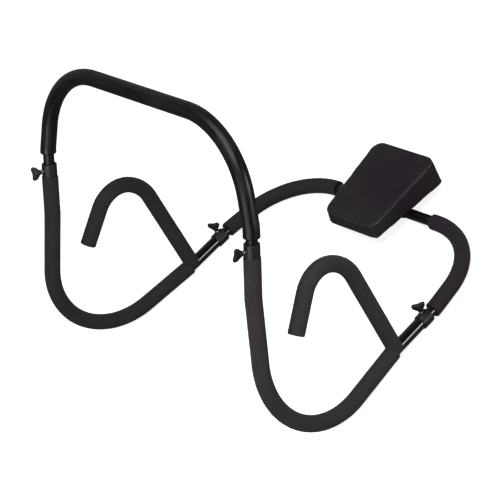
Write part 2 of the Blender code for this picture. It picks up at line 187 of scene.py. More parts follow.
def combine(piece, others, operation):
    """Exact Boolean with other objects, applied; the others are removed."""
    for other in others:
        mod = piece.modifiers.new(operation.lower(), "BOOLEAN")
        mod.operation = operation
        mod.solver = "EXACT"
        mod.object = other
    apply_modifiers(piece)
    for other in others:
        bpy.data.objects.remove(other)


def place(piece, node, slot):
    """Put a piece in the place of the CAD node that it stands for."""
    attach(piece, BODY_OF[node])
    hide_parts(node)
    return piece


def repaint(node, finish):
    """Give a carried-over CAD node its material."""
    materials = frame["nodes"][node].data.materials
    materials.clear()
    materials.append(finish)


# -------------------- materials
class Nodes:
    """Maker of nodes in one tree."""

    def __init__(self, tree):
        self.tree = tree

    def node(self, kind, inputs=None, **settings):
        """New shader node, with each input set to a value or linked to an output."""
        made = self.tree.nodes.new(kind)
        for key, value in settings.items():
            setattr(made, key, value)
        for key, value in (inputs or {}).items():
            if isinstance(value, bpy.types.NodeSocket):
                self.tree.links.new(value, made.inputs[key])
            else:
                made.inputs[key].default_value = value
        return made

    def maths(self, operation, *values):
        """Result of a Math node."""
        made = self.node("ShaderNodeMath", dict(enumerate(values)), operation=operation)
        return made.outputs[0]


class Finish(Nodes):
    """One procedural material round a Principled shader."""

    def __init__(self, name, sockets):
        self.material = bpy.data.materials.new(name)
        self.material.use_nodes = True
        super().__init__(self.material.node_tree)
        self.shader = self.tree.nodes["Principled BSDF"]
        for socket, value in sockets.items():
            self.shader.inputs[socket].default_value = value

    def straight(self, stretch=(1.0, 1.0, 1.0)):
        """Coordinates of the straightened tube, in metres, with its length along Z."""
        source = self.node("ShaderNodeAttribute", attribute_name="straight")
        return self.scaled(source.outputs["Vector"], stretch)

    def local(self, stretch=(1.0, 1.0, 1.0)):
        """Coordinates of the piece itself, in metres."""
        source = self.node("ShaderNodeTexCoord")
        return self.scaled(source.outputs["Object"], stretch)

    def scaled(self, vector, stretch):
        """Coordinates multiplied along each axis."""
        made = self.node("ShaderNodeMapping", {"Vector": vector, "Scale": stretch})
        return made.outputs["Vector"]

    def noise(self, vector, scale, detail=2.0, roughness=0.5):
        """Noise value at the coordinates."""
        made = self.node("ShaderNodeTexNoise", {"Vector": vector, "Scale": scale,
                                                "Detail": detail, "Roughness": roughness})
        return made.outputs["Fac"]

    def cells(self, vector, scale, feature="F1"):
        """Distance value of a pattern of cells."""
        made = self.node("ShaderNodeTexVoronoi", {"Vector": vector, "Scale": scale},
                         feature=feature)
        return made.outputs["Distance"]

    def ramp(self, value, stops):
        """Colour ramp from (position, grey or colour) stops."""
        made = self.node("ShaderNodeValToRGB", {"Fac": value})
        while len(made.color_ramp.elements) < len(stops):
            made.color_ramp.elements.new(0.5)
        for element, (position, shade) in zip(made.color_ramp.elements, stops):
            element.position = position
            colour = shade if isinstance(shade, tuple) else (shade,) * 3
            element.color = (*colour, 1.0)
        return made.outputs["Color"]

    def sum(self, parts):
        """Weighted sum of values."""
        total = None
        for value, weight in parts:
            share = self.maths("MULTIPLY", value, weight)
            total = share if total is None else self.maths("ADD", total, share)
        return total

    def blend(self, share, first, second):
        """Mix of two colours by a value."""
        made = self.node("ShaderNodeMix", data_type="RGBA")
        self.tree.links.new(share, made.inputs[0])
        for socket, colour in ((6, first), (7, second)):
            if isinstance(colour, bpy.types.NodeSocket):
                self.tree.links.new(colour, made.inputs[socket])
            else:
                made.inputs[socket].default_value = (*colour, 1.0)
        return made.outputs[2]

    def feed(self, socket, value, stops=None):
        """Link an output to one of the shader's sockets, through a ramp if it has stops."""
        if stops:
            value = self.ramp(value, stops)
        self.tree.links.new(value, self.shader.inputs[socket])

    def relief(self, height, depth, strength=1.0):
        """Bump of a height from 0 to 1 that stands for a depth in metres."""
        made = self.node("ShaderNodeBump", {"Height": height, "Distance": depth,
                                            "Strength": strength})
        self.feed("Normal", made.outputs["Normal"])


def foam_finish(name, dark, light):
    """Closed-cell grip foam: matte, with fine pores, speckle and faint draw marks."""
    finish = Finish(name, {"IOR": 1.45, "Specular IOR Level": 0.22, "Sheen Weight": 0.10,
                           "Sheen Roughness": 0.55, "Sheen Tint": (0.55, 0.55, 0.60, 1.0)})
    tube = finish.straight()
    pores = finish.cells(tube, 1500.0)
    grain = finish.noise(tube, 1100.0, 3.0, 0.6)
    clouds = finish.noise(tube, 26.0, 4.0, 0.55)
    drawn = finish.noise(finish.straight((1.0, 1.0, 0.12)), 240.0, 2.0)
    speckle = finish.noise(tube, 360.0, 2.0, 0.6)
    tone = finish.sum(((grain, 0.20), (speckle, 0.35), (clouds, 0.25), (drawn, 0.20)))
    finish.feed("Base Color", tone, ((0.34, dark), (0.66, light)))
    finish.feed("Roughness", finish.sum(((clouds, 0.7), (grain, 0.3))),
                ((0.30, 0.66), (0.70, 0.88)))
    walls = finish.ramp(pores, ((0.05, 0.0), (0.45, 1.0)))
    finish.relief(finish.sum(((walls, 0.55), (grain, 0.30), (drawn, 0.15))), 0.20 * MM, 0.75)
    return finish.material


def skin_foam_finish():
    """Smooth-skinned foam of the hand hoop: satin, with faint lengthwise draw marks."""
    finish = Finish("hoop_foam_skin", {"IOR": 1.47, "Specular IOR Level": 0.44})
    tube = finish.straight()
    grain = finish.noise(tube, 900.0, 3.0, 0.6)
    clouds = finish.noise(tube, 18.0, 4.0, 0.55)
    drawn = finish.noise(finish.straight((1.0, 1.0, 0.05)), 210.0, 3.0, 0.6)
    tone = finish.sum(((grain, 0.20), (clouds, 0.40), (drawn, 0.40)))
    finish.feed("Base Color", tone, ((0.42, (0.0002, 0.0002, 0.0002)),
                                     (0.60, (0.0078, 0.0078, 0.0080))))
    finish.feed("Roughness", finish.sum(((clouds, 0.4), (drawn, 0.6))),
                ((0.40, 0.26), (0.60, 0.50)))
    finish.relief(finish.sum(((grain, 0.4), (drawn, 0.6))), 0.12 * MM, 0.6)
    return finish.material


def paint_finish(name, shine, smooth, coarse):
    """Black stoved paint on steel tube, with orange peel and fine lengthwise rubs."""
    finish = Finish(name, {"IOR": 1.50, "Specular IOR Level": 0.50 * shine,
                           "Coat Weight": 0.60 * shine, "Coat Roughness": 0.07, "Coat IOR": 1.5})
    tube = finish.straight()
    peel = finish.noise(tube, 520.0, 2.0)
    clouds = finish.noise(tube, 40.0, 3.0)
    rubs = finish.noise(finish.straight((1.0, 1.0, 0.015)), 1900.0, 3.0, 0.7)
    marks = finish.ramp(rubs, ((0.66, 0.0), (0.74, 1.0)))
    finish.feed("Base Color", finish.blend(marks, (0.0035, 0.0035, 0.0040), (0.014, 0.014, 0.015)))
    finish.feed("Roughness", finish.sum(((clouds, 0.45), (marks, 0.55))),
                ((0.15, smooth), (0.75, coarse)))
    finish.relief(finish.sum(((peel, 0.8), (rubs, 0.2))), 0.012 * MM, 0.5)
    return finish.material


def plastic_finish():
    """Moulded nylon of collars and wing knobs: satin, lightly textured, paler on worn edges."""
    finish = Finish("black_plastic_moulded", {"IOR": 1.50, "Specular IOR Level": 0.45})
    place_in = finish.local()
    spark = finish.noise(place_in, 2400.0, 2.0, 0.6)
    clouds = finish.noise(place_in, 120.0, 3.0)
    edges = finish.ramp(finish.node("ShaderNodeNewGeometry").outputs["Pointiness"],
                        ((0.52, 0.0), (0.60, 1.0)))
    worn = finish.sum(((edges, 0.75), (clouds, 0.25)))
    finish.feed("Base Color", worn, ((0.10, (0.008, 0.008, 0.0085)),
                                     (0.85, (0.030, 0.030, 0.031))))
    finish.feed("Roughness", finish.sum(((clouds, 0.6), (spark, 0.4))),
                ((0.30, 0.36), (0.70, 0.52)))
    finish.relief(finish.sum(((spark, 0.8), (clouds, 0.2))), 0.05 * MM, 0.6)
    return finish.material


def steel_finish():
    """Bright zinc-plated steel of studs and screws, darker in its hollows."""
    finish = Finish("bare_steel_zinc", {"Metallic": 1.0, "Anisotropic": 0.2})
    place_in = finish.local()
    clouds = finish.noise(place_in, 380.0, 3.0)
    fine = finish.noise(place_in, 3200.0, 2.0)
    # base colour darker in concave hollows, found from pointiness
    hollow = finish.ramp(finish.node("ShaderNodeNewGeometry").outputs["Pointiness"],
                         ((0.44, 0.0), (0.50, 1.0)))
    bright = finish.ramp(clouds, ((0.30, (0.50, 0.50, 0.49)), (0.70, (0.68, 0.68, 0.67))))
    finish.feed("Base Color", finish.blend(hollow, (0.16, 0.155, 0.15), bright))
    finish.feed("Roughness", finish.sum(((clouds, 0.7), (fine, 0.3))),
                ((0.30, 0.20), (0.70, 0.38)))
    finish.relief(fine, 0.01 * MM, 0.5)
    return finish.material


def vinyl_finish(name, dark, light, smooth, edge_tones=None):
    """Black upholstery vinyl with a pressed leather grain; its tint may fade towards edges."""
    finish = Finish(name, {"IOR": 1.50, "Specular IOR Level": 0.32})
    flat = finish.local()
    warp = finish.node("ShaderNodeTexNoise", {"Vector": flat, "Scale": 300.0, "Detail": 2.0})
    bent = finish.node("ShaderNodeVectorMath", {0: warp.outputs["Color"], 1: (0.0011,) * 3},
                       operation="MULTIPLY")
    moved = finish.node("ShaderNodeVectorMath", {0: flat, 1: bent.outputs[0]}, operation="ADD")
    cells = finish.cells(moved.outputs[0], 720.0, "DISTANCE_TO_EDGE")
    plates = finish.ramp(cells, ((0.02, 0.0), (0.28, 1.0)))
    fine = finish.noise(flat, 2600.0, 3.0, 0.6)
    clouds = finish.noise(flat, 22.0, 4.0, 0.55)
    tone = finish.sum(((plates, 0.35), (clouds, 0.65)))
    colour = finish.ramp(tone, ((0.25, dark), (0.80, light)))
    if edge_tones:
        low, high = (Vector(corner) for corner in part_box("head_cushion"))
        middle = low.lerp(high, 0.5) + TINT_OFFSET
        away = finish.node("ShaderNodeVectorMath", {0: flat, 1: tuple(middle)},
                           operation="DISTANCE")
        faded = finish.ramp(finish.sum(((away.outputs["Value"], 5.0), (clouds, 0.3))),
                            ((0.47, 0.0), (0.75, 1.0)))
        edge = finish.ramp(tone, ((0.25, edge_tones[0]), (0.80, edge_tones[1])))
        colour = finish.blend(faded, colour, edge)
    finish.feed("Base Color", colour)
    finish.feed("Roughness", finish.sum(((clouds, 0.5), (plates, 0.3), (fine, 0.2))),
                ((0.25, smooth + 0.18), (0.80, smooth)))
    finish.relief(finish.sum(((plates, 0.75), (fine, 0.25))), 0.16 * MM, 0.7)
    return finish.material


def plywood_finish():
    """Birch plywood: long face grain, and dark and light plies on the edges."""
    finish = Finish("plywood_birch", {"IOR": 1.50, "Specular IOR Level": 0.30})
    flat = finish.local()
    long_grain = finish.noise(finish.local((1.0, 0.045, 1.0)), 420.0, 4.0, 0.6)
    figure = finish.noise(finish.local((1.0, 0.16, 1.0)), 60.0, 3.0)
    plies = finish.node("ShaderNodeTexWave", {"Vector": flat, "Scale": 260.0, "Distortion": 0.6},
                        bands_direction="Z").outputs["Fac"]
    facing = finish.node("ShaderNodeSeparateXYZ",
                         {0: finish.node("ShaderNodeTexCoord").outputs["Normal"]}).outputs["Z"]
    flat_on = finish.maths("ABSOLUTE", facing)
    face_look = finish.ramp(finish.sum(((long_grain, 0.6), (figure, 0.4))),
                            ((0.30, (0.20, 0.125, 0.066)), (0.70, (0.37, 0.27, 0.165))))
    edge_look = finish.ramp(plies, ((0.35, (0.13, 0.078, 0.042)), (0.65, (0.31, 0.22, 0.13))))
    on_face = finish.ramp(flat_on, ((0.4, 0.0), (0.6, 1.0)))
    finish.feed("Base Color", finish.blend(on_face, edge_look, face_look))
    finish.feed("Roughness", long_grain, ((0.30, 0.58), (0.70, 0.80)))
    finish.relief(long_grain, 0.12 * MM, 0.6)
    return finish.material


TINT_OFFSET = Vector((20.0, 25.0, 0.0)) * MM    # of the cushion's plum area from its middle
FOAM = foam_finish("grip_foam_charcoal", (0.0150, 0.0150, 0.0156), (0.0300, 0.0300, 0.0310))
WORN_FOAM = foam_finish("grip_foam_worn", (0.0232, 0.0232, 0.0238), (0.0460, 0.0460, 0.0470))
PLUM_FOAM = foam_finish("grip_foam_plum", (0.0260, 0.0215, 0.0260), (0.0470, 0.0400, 0.0470))
DARK_PLUM_FOAM = foam_finish("grip_foam_dark_plum",
                             (0.0170, 0.0125, 0.0170), (0.0310, 0.0240, 0.0310))
HOOP_FOAM = skin_foam_finish()
PAINT = paint_finish("black_steel_paint", 1.0, 0.08, 0.30)
SATIN_PAINT = paint_finish("black_satin_paint", 0.45, 0.42, 0.60)
PLASTIC = plastic_finish()
STEEL = steel_finish()
VINYL = vinyl_finish("black_vinyl_grain", (0.0100, 0.0052, 0.0100), (0.0225, 0.0126, 0.0225),
                     0.38, ((0.0118, 0.0116, 0.0118), (0.0255, 0.0250, 0.0255)))
# the welt's vinyl is paler than the cover's: a painted highlight along the seam
WELT_VINYL_LIT = vinyl_finish("black_vinyl_welt_painted_highlight", (0.0320, 0.0280, 0.0320), (0.0620, 0.0560, 0.0620),
                          0.22)
PLYWOOD = plywood_finish()


# -------------------- centre lines
def on_upright(share):
    """Point at a share of the way down a runner's straight upright."""
    point = HOOP_CORNER.lerp(RUNNER_CORNER, share)
    point.x = FRONT_SLIDE_X
    return point


def on_tail(share):
    """Point at a share of the way back along a runner's straight tail."""
    point = RUNNER_CORNER.lerp(REAR_CORNER, share)
    point.x = REAR_SLIDE_X
    return point


def rounded(corners, radii):
    """Centre line through corners, each rounded with its own bend radius."""
    path = [corners[0].copy()]
    for before, corner, after, radius in zip(corners, corners[1:], corners[2:], radii):
        back = (before - corner).normalized()
        onward = (after - corner).normalized()
        turn = math.pi - back.angle(onward)
        start = corner + back * (radius * math.tan(turn / 2.0))
        centre = corner + (back + onward).normalized() * (radius / math.cos(turn / 2.0))
        spoke = (start - centre).normalized()
        steps = max(1, round(turn / BEND_STEP))
        for k in range(steps + 1):
            angle = turn * k / steps
            path.append(centre + (spoke * math.cos(angle) - back * math.sin(angle)) * radius)
    path.append(corners[-1].copy())
    return path


def mirrored(points, sign):
    """Copy points to one side of the roller and set them on the floor datum."""
    return [Vector((p.x * sign, p.y, p.z)) + DATUM for p in points]


class Line:
    """Centre line that gives its place and directions at any distance along it."""

    def __init__(self, points, reference):
        self.points = [points[0]]
        for point in points[1:]:
            if (point - self.points[-1]).length > 1e-6:
                self.points.append(point)
        self.reference = reference
        self.stops = [0.0]
        for a, b in zip(self.points, self.points[1:]):
            self.stops.append(self.stops[-1] + (b - a).length)
        self.length = self.stops[-1]
        legs = [(b - a).normalized() for a, b in zip(self.points, self.points[1:])]
        between = [(a + b).normalized() for a, b in zip(legs, legs[1:])]
        self.tangents = [legs[0]] + between + [legs[-1]]

    def station(self, distance):
        """Place, side direction and other direction at a distance along the line."""
        k = min(max(bisect_right(self.stops, distance) - 1, 0), len(self.points) - 2)
        share = (distance - self.stops[k]) / (self.stops[k + 1] - self.stops[k])
        here = self.points[k].lerp(self.points[k + 1], share)
        clipped = min(max(share, 0.0), 1.0)
        tangent = self.tangents[k].lerp(self.tangents[k + 1], clipped).normalized()
        side = (self.reference - tangent * self.reference.dot(tangent)).normalized()
        return here, side, tangent.cross(side)

    def ring(self, distance, radius, count=SIDES_ROUND, ripple=0.0):
        """Ring of points round the line; a ripple makes foam slightly uneven."""
        here, side, other = self.station(distance)
        ring = []
        for k in range(count):
            angle = 2.0 * math.pi * k / count
            offset = side * math.cos(angle) + other * math.sin(angle)
            point = here + offset * radius
            if ripple:
                uneven = ripple * noise.noise(point * RIPPLE_SCALE)
                point = here + offset * (radius + uneven)
            ring.append(point)
        return ring

    def rings(self, profile, ripple=0.0, ripple_end=math.inf):
        """Rings through (distance, radius) stations, and the same on the straightened tube."""
        return ([self.ring(s, r, ripple=ripple if s < ripple_end else 0.0) for s, r in profile],
                [[flat_point(k, SIDES_ROUND, r, s) for k in range(SIDES_ROUND)]
                 for s, r in profile])


def flat_point(k, count, radius, height):
    """Point of an upright ring of count points round Z."""
    turn = 2.0 * math.pi * k / count
    return Vector((math.cos(turn) * radius, math.sin(turn) * radius, height))


def spread(start, end, step):
    """Evenly spaced distances from start to end, about a step apart."""
    count = max(1, round(abs(end - start) / step))
    return [start + (end - start) * k / count for k in range(count + 1)]


def sleeve_profile(length, outer, bore, edge, flare=0.0):
    """(distance, radius) stations of a hollow sleeve with rounded ends, once round its wall."""
    arc = [math.pi / 2.0 * k / EDGE_STEPS for k in range(EDGE_STEPS + 1)]
    lip = outer + flare
    head = [(edge * (1.0 - math.cos(a)), lip - edge + edge * math.sin(a)) for a in arc]
    body = [(s, outer + flare * flare_share(s, length))
            for s in spread(edge, length - edge, RING_STEP)]
    tail = [(length - s, r) for s, r in reversed(head)]
    inner = [(s, bore) for s in spread(length, 0.0, BORE_STEP)]
    return head + body[1:-1] + tail + inner


def flare_share(distance, length):
    """How much a sleeve is flared: 1 at an end, 0 from FLARE_REACH inwards."""
    near = min(distance, length - distance) / FLARE_REACH
    return max(0.0, 1.0 - near) ** 2


def sleeve(node, slot, line, wall, finish, ripple=0.0):
    """Hollow tube or foam sleeve along a line, in the place of its CAD node."""
    rings, flats = line.rings(sleeve_profile(line.length, *wall), ripple)
    place(skinned("fine_" + node, rings, True, finish, flats), node, slot)


# -------------------- side frames
FRONT_TOP = on_upright(0.255)
FRONT_SEAT = on_upright(0.3344)
HOOP_LEG_END = on_upright(0.4280)
FRONT_LOW = on_upright(0.4480)
JUNCTION = on_tail(0.5607)
HEAD_LEG_START = on_tail(0.5900)
REAR_SEAT = on_tail(0.6847) + Y_AXIS * (COLLAR_LENGTH / 2.0)
REAR_FOAM_START = on_tail(0.7196)
REAR_HIGH = on_tail(0.7300)
RUNNER_FOAM_SETBACK = 7.5 * MM
FOAM_EDGE = 1.5 * MM
STEEL_EDGE = 0.3 * MM
OUTER_WALL = (OUTER_TUBE_R, OUTER_BORE_R, STEEL_EDGE)
INNER_WALL = (INNER_TUBE_R, INNER_BORE_R, STEEL_EDGE)
FOAM_RIPPLE = 0.16 * MM
FLARE_REACH = 12.0 * MM
REAR_FLARE = 0.15 * MM
HOOP_FLARE = 0.35 * MM
HOOP_EDGE = 2.6 * MM
HOOP_RIPPLE = 0.08 * MM
TIP_EDGE = 2.6 * MM
TIP_EDGE_STEPS = 6
TIP_DOME = 0.15 * MM
TIP_WALL = 4.0 * MM
SEAM_BLEND = 60.0 * MM        # length of arm foam over which its saddle seam evens out
SEAM_GAP = 0.05 * MM


def runner_line(sign, start, ends):
    """Centre line of a runner, from a start on its upright through its last corners."""
    corners = mirrored([start, FRONT_LOW, RUNNER_CORNER, *ends], sign)
    radii = [SPLAY_BEND_R, MAIN_BEND_R, SPLAY_BEND_R][:len(ends) + 1]
    return Line(rounded(corners, radii), X_AXIS)


def saddle_cut(place, direction, seat, radius):
    """Distance from place along direction to the surface of a straight round seat."""
    start, axis = seat
    gap = place - start
    across = direction - axis * direction.dot(axis)
    gap = gap - axis * gap.dot(axis)
    a = across.dot(across)
    b = 2.0 * gap.dot(across)
    c = gap.dot(gap) - radius * radius
    root = b * b - 4.0 * a * c
    return (-b + math.sqrt(max(root, 0.0))) / (2.0 * a)


def arm_sleeve(side, sign):
    """Foam of an arm hook: a closed cup over the tip, and a saddle seam on the runner."""
    corners = mirrored([JUNCTION, *ARM_CORNERS], sign)
    line = Line(rounded(corners, ARM_BENDS), X_AXIS)
    length = line.length
    seat = (corners[0], Y_AXIS)
    rise = (line.points[1] - line.points[0]).normalized()

    reach = min(line.stops[1], SEAM_BLEND)

    def conformed(radius, count):
        """Rings that start on the runner's surface and even out along the straight first leg."""
        rings, flats = [], []
        for row in range(count):
            made, flat = [], []
            for k, point in enumerate(line.ring(0.0, radius)):
                low = saddle_cut(point, rise, seat, FOAM_R + SEAM_GAP)
                if (point + rise * low - corners[0]).y > -RUNNER_FOAM_SETBACK:
                    low = saddle_cut(point, rise, seat, OUTER_TUBE_R + SEAM_GAP)
                distance = low + (reach - low) * (row / count)
                made.append(point + rise * distance)
                flat.append(flat_point(k, SIDES_ROUND, radius, distance))
            rings.append(made)
            flats.append(flat)
        return rings, flats

    turns = [math.pi / 2.0 * k / TIP_EDGE_STEPS for k in range(1, TIP_EDGE_STEPS + 1)]
    outer = [(s, FOAM_R) for s in spread(reach, length - TIP_EDGE, RING_STEP)]
    outer += [(length - TIP_EDGE + TIP_EDGE * math.sin(t),
               FOAM_R - TIP_EDGE + TIP_EDGE * math.cos(t)) for t in turns]
    outer += [(length + TIP_DOME, FOAM_R * share) for share in (0.6, 0.3, 0.06)]
    inner = [(s, FOAM_ON_INNER_R) for s in spread(length - TIP_WALL, reach, BORE_STEP)]
    skin = line.rings(outer, FOAM_RIPPLE, length - TIP_EDGE)
    skin_seam, bore_seam = conformed(FOAM_R, 15), conformed(FOAM_ON_INNER_R, 6)
    bore = line.rings(inner)
    rings, flats = (bore[k] + bore_seam[k][::-1] + skin_seam[k] + skin[k] for k in (0, 1))
    node = side + "_arm_foam"
    finish = WORN_FOAM if side == "right" else FOAM
    place(skinned("fine_" + node, rings, False, finish, flats), node, "grip_foam")


def build_side(side, sign):
    """Tube, foam and arm foam of one side frame."""
    tube_top = FRONT_SEAT + LEG_AXIS * (COLLAR_LENGTH - COLLAR_LIP - GAP)
    tube_tail = REAR_SEAT - Y_AXIS * (COLLAR_LIP + GAP)
    line = runner_line(sign, tube_top, [JUNCTION, tube_tail])
    sleeve(side + "_runner_tube", "black_steel", line, OUTER_WALL, PAINT)
    back = (RUNNER_CORNER - JUNCTION).normalized()
    line = runner_line(sign, FRONT_SEAT, [JUNCTION + back * RUNNER_FOAM_SETBACK])
    sleeve(side + "_runner_foam", "grip_foam", line, (FOAM_R, FOAM_ON_OUTER_R, FOAM_EDGE),
           PLUM_FOAM if side == "right" else FOAM, FOAM_RIPPLE)
    arm_sleeve(side, sign)
    repaint(side + "_arm_tube", PAINT)


# -------------------- hand hoop and head frame
def build_hoop():
    """Bent hand hoop and the smooth foam sleeve round it."""
    radii = [SPLAY_BEND_R, MAIN_BEND_R, MAIN_BEND_R, SPLAY_BEND_R]

    def arch(low_left, low_right):
        """Centre line of the hoop between two ends on its legs."""
        left = mirrored([low_left, FRONT_TOP, HOOP_CORNER], -1.0)
        right = mirrored([HOOP_CORNER, FRONT_TOP, low_right], 1.0)
        return Line(rounded(left + right, radii), HOOP_NORMAL)

    line = arch(HOOP_LEG_END, HOOP_LEG_END)
    sleeve("hoop_tube", "black_steel", line, INNER_WALL, SATIN_PAINT)
    line = arch(*(on_upright(HOOP_FOAM_END[side]) for side, _ in SIDES))
    sleeve("hoop_foam", "hoop_foam", line, (HOOP_FOAM_R, FOAM_ON_INNER_R, HOOP_EDGE, HOOP_FLARE),
           HOOP_FOAM, HOOP_RIPPLE)


def build_head_frame():
    """Bent rear tube that carries the cushion, and its two foam sleeves."""
    radii = [SPLAY_BEND_R, REAR_BEND_R, REAR_BEND_R, SPLAY_BEND_R]
    left = mirrored([HEAD_LEG_START, REAR_HIGH, REAR_CORNER], -1.0)
    right = mirrored([REAR_CORNER, REAR_HIGH, HEAD_LEG_START], 1.0)
    line = Line(rounded(left + right, radii), Z_AXIS)
    sleeve("head_frame_tube", "black_steel", line, INNER_WALL, PAINT)
    for side, sign in SIDES:
        bar_end = Vector((REAR_FOAM_END_X[side], REAR_CORNER.y, 0.0))
        corners = mirrored([REAR_FOAM_START, REAR_HIGH, REAR_CORNER, bar_end], sign)
        line = Line(rounded(corners, radii[:2]), Z_AXIS)
        sleeve(side + "_head_frame_foam", "grip_foam", line,
               (FOAM_R, FOAM_ON_INNER_R, FOAM_EDGE, REAR_FLARE),
               DARK_PLUM_FOAM if side == "right" else FOAM, FOAM_RIPPLE)


# -------------------- clamps
BOSS_PROFILE = ((12.9, 6.6), (13.6, 6.0), (14.4, 5.6))    # foot of the boss: height, radius in mm
BOSS_TOP = 17.5 * MM
BOSS_ARC_R = 4.7 * MM
BOSS_EDGE = 0.6 * MM
BOSS_CUT = (1.0 * MM, 20.0 * MM)    # stretch of the collar's bore kept clear of the boss
STUD_WAY_R = 3.3 * MM
COLLAR_SIDES = 64
COLLAR_EDGE = 0.5 * MM
COLLAR_END_EDGE = 1.3 * MM
STUD_R = 3.0 * MM
STUD_TIP = 11.3 * MM
STUD_LENGTH = 19.2 * MM
THREAD_DEPTH = 0.42 * MM
THREAD_PITCH = 1.0 * MM


def in_mm(pairs):
    """Profile given in millimetres, in metres."""
    return [(height * MM, radius * MM) for height, radius in pairs]


def turned(name, base, axis, profile, finish, closed=False, count=48):
    """Body of revolution from (height, radius) pairs along an axis, as its own object."""
    line = Line([base, base + axis], X_AXIS)
    return skinned(name, [line.ring(s, r, count) for s, r in profile], closed, finish)


def drill(base, axis, low, high, radius, count=48):
    """Round cutter between two heights along an axis."""
    return turned("drill", base, axis, [(low, radius), (high, radius)], PLASTIC, count=count)


def fillet(height, radius, edge, first, last, steps=5):
    """Quarter-circle stations round a corner whose arc centre is at (height, radius)."""
    turns = [math.radians(first + (last - first) * k / steps) for k in range(steps + 1)]
    return [(height + edge * math.sin(t), radius + edge * math.cos(t)) for t in turns]


def collar(node, seat, axis, facing):
    """Moulded collar with an inward lip at its open end and a boss for the stud."""
    base = seat + axis * GAP
    end, lip = COLLAR_LENGTH, COLLAR_LENGTH - COLLAR_LIP
    profile = [(0.0, COLLAR_BORE_R)]
    profile += fillet(COLLAR_EDGE, COLLAR_R - COLLAR_EDGE, COLLAR_EDGE, -90.0, 0.0)
    profile += fillet(end - COLLAR_END_EDGE, COLLAR_R - COLLAR_END_EDGE, COLLAR_END_EDGE,
                      0.0, 90.0, 7)
    profile += fillet(end - GAP, COLLAR_LIP_R + GAP, GAP, 90.0, 180.0)
    profile += [(lip, COLLAR_LIP_R), (lip, COLLAR_BORE_R)]
    body = turned("fine_" + node, base, axis, profile, PLASTIC, True, COLLAR_SIDES)
    middle = seat + axis * (COLLAR_LENGTH / 2.0)
    boss_profile = in_mm(BOSS_PROFILE)
    boss_profile += fillet(BOSS_TOP - BOSS_EDGE, BOSS_ARC_R, BOSS_EDGE, 0.0, 90.0, 4)
    boss = turned("boss", middle, facing, boss_profile, PLASTIC)
    combine(boss, [drill(base, axis, *BOSS_CUT, COLLAR_BORE_R, COLLAR_SIDES)], "DIFFERENCE")
    combine(body, [boss], "UNION")
    combine(body, [drill(middle, facing, 0.0, KNOB_BASE, STUD_WAY_R)], "DIFFERENCE")
    face_outward(body, 40.0)
    place(body, node, "black_plastic")
    return middle


def thread_rings(count=32):
    """Rings of the stud's thread along Z, plain and chamfered at both ends."""
    rings = []
    for s in spread(0.0, STUD_LENGTH, THREAD_PITCH / 8.0):
        fade = min(1.0, min(s, STUD_LENGTH - s) / (1.2 * THREAD_PITCH))
        ring = []
        for k in range(count):
            phase = (s / THREAD_PITCH - k / count) % 1.0
            groove = abs(2.0 * phase - 1.0)
            cut = THREAD_DEPTH * max(0.0, min(1.0, 1.25 * groove - 0.125))
            radius = STUD_R - cut * fade - THREAD_DEPTH * (1.0 - fade)
            ring.append(flat_point(k, count, radius, s))
        rings.append(ring)
    return rings


WING_SPAN = 13.5 * MM
WING_GROWTH = 1.11            # scale of the station heights and thicknesses
WING_SQUARENESS = 0.55
WING_SIDES = 24
WING_VOXEL = 0.38 * MM
SOCKET_DEPTH = 9.3 * MM
# height and radius in mm
HUB_PROFILE = ((0.0, 4.6), (0.6, 5.3), (3.0, 5.4), (10.0, 5.0), (16.0, 4.5), (17.3, 3.2),
               (17.8, 1.2))
# share of the half span, then lower height, upper height and half thickness in mm
WING_STATIONS = (
    (0.00, 1.0, 16.2, 4.3), (0.15, 1.2, 16.4, 4.2), (0.30, 2.2, 16.9, 3.9),
    (0.45, 3.6, 17.5, 3.5), (0.60, 5.2, 17.9, 3.2), (0.74, 6.9, 17.9, 3.0),
    (0.85, 8.6, 17.5, 2.8), (0.93, 10.2, 16.8, 2.4), (0.98, 11.8, 15.8, 1.8),
    (1.00, 13.0, 14.8, 1.0),
)


def squared(value):
    """Sine or cosine that makes a rounded rectangle instead of a circle."""
    return math.copysign(abs(value) ** WING_SQUARENESS, value)


def wing_mesh():
    """Wing knob as one soft moulding, with its base at the origin and its wings along X."""
    rings = []
    stations = [(-u, a, b, t) for u, a, b, t in reversed(WING_STATIONS[1:])] + list(WING_STATIONS)
    for share, low, high, half in stations:
        ring = []
        for k in range(WING_SIDES):
            turn = 2.0 * math.pi * k / WING_SIDES
            y = squared(math.cos(turn)) * half
            z = (low + high) / 2.0 + squared(math.sin(turn)) * (high - low) / 2.0
            ring.append(Vector((share * WING_SPAN, y * WING_GROWTH * MM, z * WING_GROWTH * MM)))
        rings.append(ring)
    wings = skinned("wings", rings, False, PLASTIC)
    combine(wings, [turned("hub", Vector(), Z_AXIS, in_mm(HUB_PROFILE), PLASTIC)], "UNION")
    melt = wings.modifiers.new("melt", "REMESH")
    melt.mode = "VOXEL"
    melt.voxel_size = WING_VOXEL
    soften = wings.modifiers.new("soften", "SMOOTH")
    soften.factor = 0.5
    soften.iterations = 6
    apply_modifiers(wings)
    combine(wings, [drill(Vector(), Z_AXIS, -1.0 * MM, SOCKET_DEPTH, STUD_WAY_R)], "DIFFERENCE")
    face_outward(wings, 50.0)
    mesh = wings.data
    bpy.data.objects.remove(wings)
    return mesh


WING_MESH = wing_mesh()


